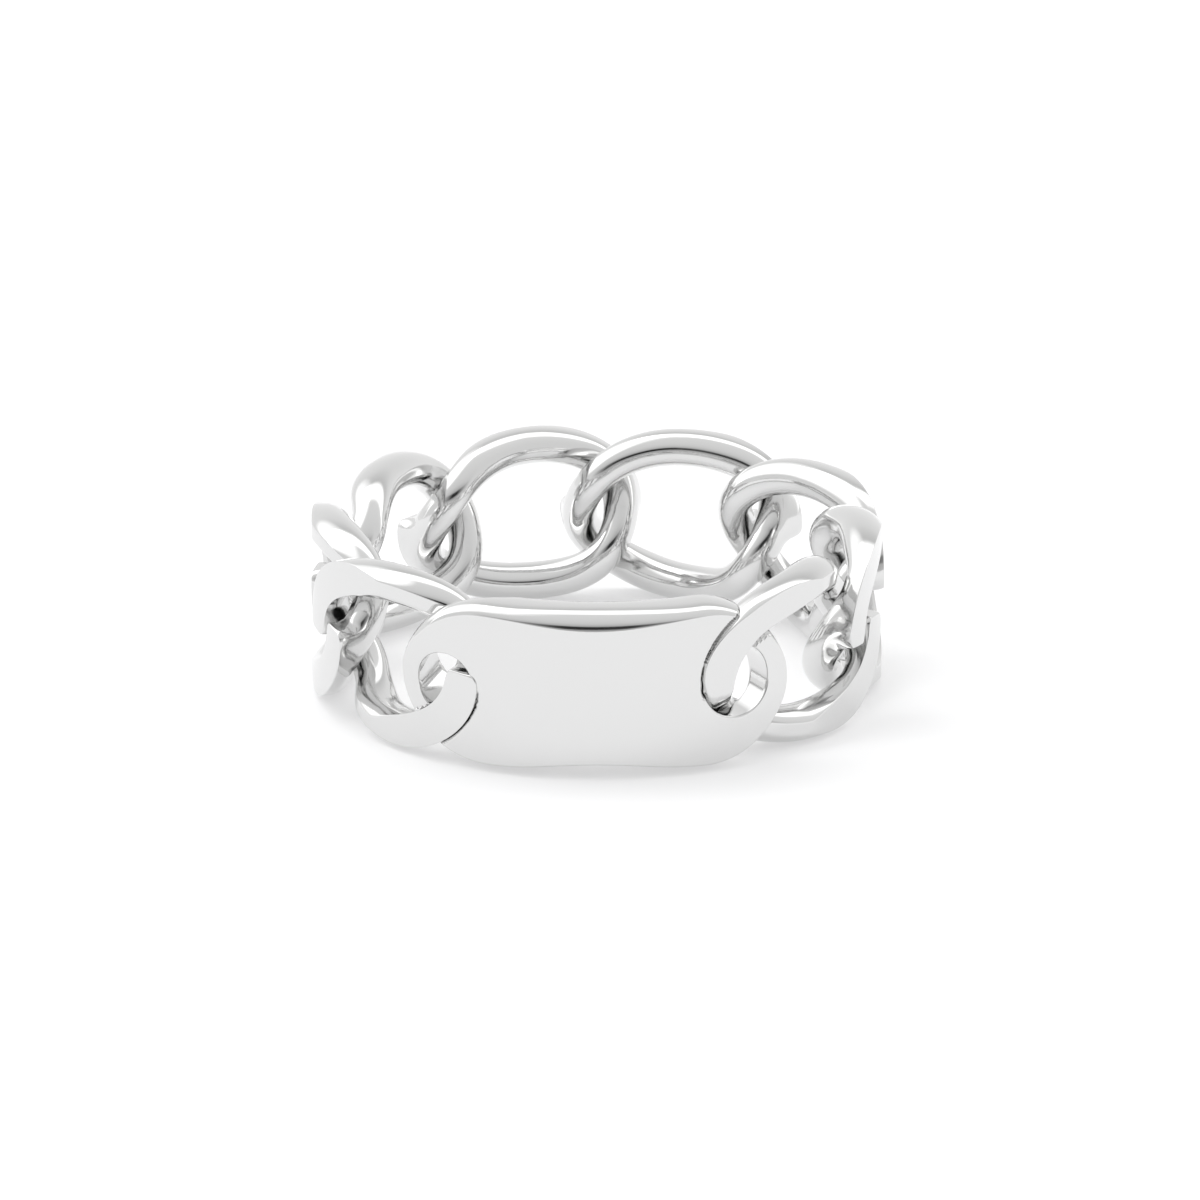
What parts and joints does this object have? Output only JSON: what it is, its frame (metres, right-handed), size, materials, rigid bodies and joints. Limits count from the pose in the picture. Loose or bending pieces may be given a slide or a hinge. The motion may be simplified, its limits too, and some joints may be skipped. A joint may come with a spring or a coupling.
{
  "type": "chain link ring",
  "caption": "Finger ring made as a curb chain: a curved plain plate and twisted, flattened oval links hooked into each other all the way round.",
  "frame": {"origin": "centre of the bounding box at the surface that the ring lies on", "axes": "+Z along the finger axis, upwards as the ring lies on its side; the plate faces -Y; +X to the right of the plate seen from outside"},
  "size_m": [0.0222, 0.0224, 0.007],
  "materials": {
    "silver": "mirror-polished sterling silver"
  },
  "bodies": {
    "root": {"id_plate": "silver", "link_1": "silver", "link_2": "silver", "link_3": "silver", "link_4": "silver", "link_5": "silver", "link_6": "silver", "link_7": "silver", "link_8": "silver"}
  },
  "joints": []
}
